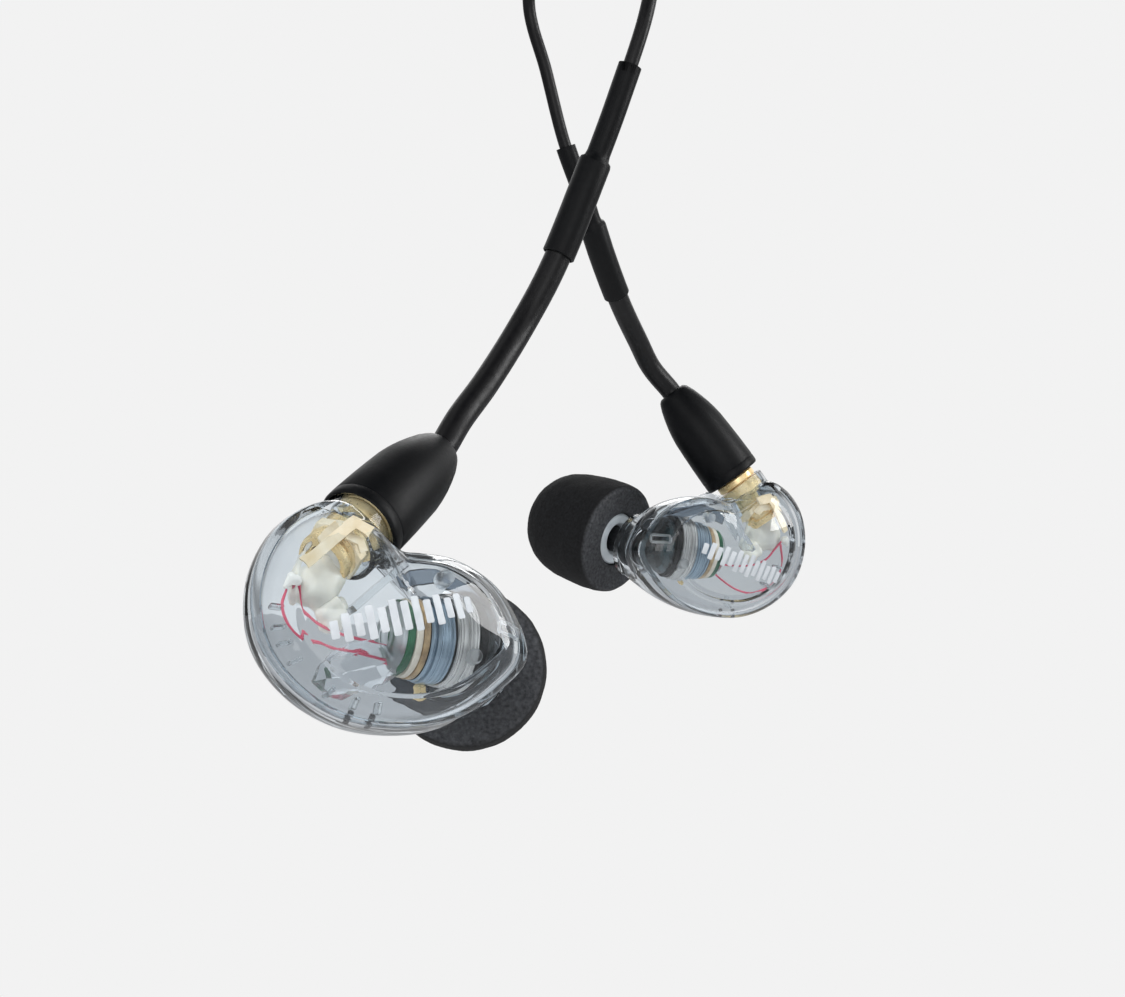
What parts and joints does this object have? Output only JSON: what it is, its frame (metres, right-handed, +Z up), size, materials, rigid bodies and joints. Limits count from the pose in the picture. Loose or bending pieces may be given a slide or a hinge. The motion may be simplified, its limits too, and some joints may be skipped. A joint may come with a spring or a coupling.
{
  "type": "in ear monitors",
  "caption": "Pair of in ear monitors with clear housings, foam ear tips, snap-in coaxial connectors and a shared cable with slider, splitter and stereo plug.",
  "frame": {"origin": "middle of the whole set's bounding box", "axes": "+Z up, the way the cables hang from the plug; +Y from the left monitor back to the right one; +X across"},
  "size_m": [0.0506, 0.0844, 0.1254],
  "materials": {
    "clear_plastic": "clear, polished",
    "smoke_plastic": "translucent, dark teal",
    "gold": "gold plated, polished",
    "silver": "bright, turned",
    "magnet_iron": "nickel plated magnet",
    "black_plastic": "satin",
    "black_rubber": "soft satin",
    "cable_black": "satin cable jacket",
    "foam": "fine open foam, matt",
    "grey_core": "soft grey tube",
    "white_plastic": "insulator",
    "board_green": "circuit board",
    "wire_red": "enamelled wire"
  },
  "bodies": {
    "cable": {"left_plug_shell": "gold", "left_plug_insulator": "white_plastic", "left_plug_pin": "gold", "left_boot": "black_rubber", "left_formable_cable": "cable_black", "left_shrink_sleeve": "black_rubber", "left_thin_cable": "cable_black", "right_plug_shell": "gold", "right_plug_insulator": "white_plastic", "right_plug_pin": "gold", "right_boot": "black_rubber", "right_formable_cable": "cable_black", "right_shrink_sleeve": "black_rubber", "right_thin_cable": "cable_black", "splitter": "black_plastic", "main_cable": "cable_black", "plug_handle": "black_plastic", "plug_sleeve_contact": "gold", "plug_insulator": "black_plastic", "plug_ring_contact": "gold", "plug_tip_contact": "gold"},
    "left_ring": {"left_snap_ring": "gold"},
    "left_housing": {"left_outer_shell": "clear_plastic", "left_inner_shell": "clear_plastic", "left_jack_barrel": "gold", "left_jack_insulator": "white_plastic", "left_jack_contact": "gold", "left_driver_can": "silver", "left_magnet": "magnet_iron", "left_driver_frame": "silver", "left_terminal_board": "board_green", "left_gasket": "black_rubber", "left_front_chamber": "smoke_plastic", "left_live_wire": "wire_red", "left_return_wire": "wire_red", "left_nozzle": "black_plastic", "left_nozzle_mesh": "silver"},
    "left_cone": {"left_diaphragm": "white_plastic"},
    "left_tip": {"left_tip_core": "grey_core", "left_tip_foam": "foam"},
    "right_ring": {"right_snap_ring": "gold"},
    "right_housing": {"right_outer_shell": "clear_plastic", "right_inner_shell": "clear_plastic", "right_jack_barrel": "gold", "right_jack_insulator": "white_plastic", "right_jack_contact": "gold", "right_driver_can": "silver", "right_magnet": "magnet_iron", "right_driver_frame": "silver", "right_terminal_board": "board_green", "right_gasket": "black_rubber", "right_front_chamber": "smoke_plastic", "right_live_wire": "wire_red", "right_return_wire": "wire_red", "right_nozzle": "black_plastic", "right_nozzle_mesh": "silver"},
    "right_cone": {"right_diaphragm": "white_plastic"},
    "right_tip": {"right_tip_core": "grey_core", "right_tip_foam": "foam"},
    "slider": {"cable_slider": "black_rubber"}
  },
  "joints": [
    {"name": "left_swivel", "type": "hinge", "parent": "cable", "child": "left_ring", "pos_m": [-0.01764, -0.03311, -0.04415], "axis": [0.447, 0.7424, 0.499], "continuous": true},
    {"name": "left_unplug", "type": "slide", "parent": "left_ring", "child": "left_housing", "axis": [-0.447, -0.7424, -0.499], "range_m": [0, 0.008]},
    {"name": "left_tip_pull", "type": "slide", "parent": "left_housing", "child": "left_tip", "axis": [-0.0174, 0.9815, -0.1908], "range_m": [0, 0.009]},
    {"name": "left_cone_travel", "type": "slide", "parent": "left_housing", "child": "left_cone", "axis": [0.8572, 0.4925, -0.1506], "range_m": [-0.00015, 0.00015]},
    {"name": "right_swivel", "type": "hinge", "parent": "cable", "child": "right_ring", "pos_m": [0.01756, 0.03168, -0.04048], "axis": [-0.5882, -0.0049, 0.8087], "continuous": true},
    {"name": "right_unplug", "type": "slide", "parent": "right_ring", "child": "right_housing", "axis": [0.5882, 0.0049, -0.8087], "range_m": [0, 0.008]},
    {"name": "right_tip_pull", "type": "slide", "parent": "right_housing", "child": "right_tip", "axis": [-0.743, 0.6259, 0.2372], "range_m": [0, 0.009]},
    {"name": "right_cone_travel", "type": "slide", "parent": "right_housing", "child": "right_cone", "axis": [-0.9194, -0.3584, 0.1621], "range_m": [-0.00015, 0.00015]},
    {"name": "slider_travel", "type": "slide", "parent": "cable", "child": "slider", "axis": [0, 0, 1], "range_m": [0, 0.0085]}
  ]
}
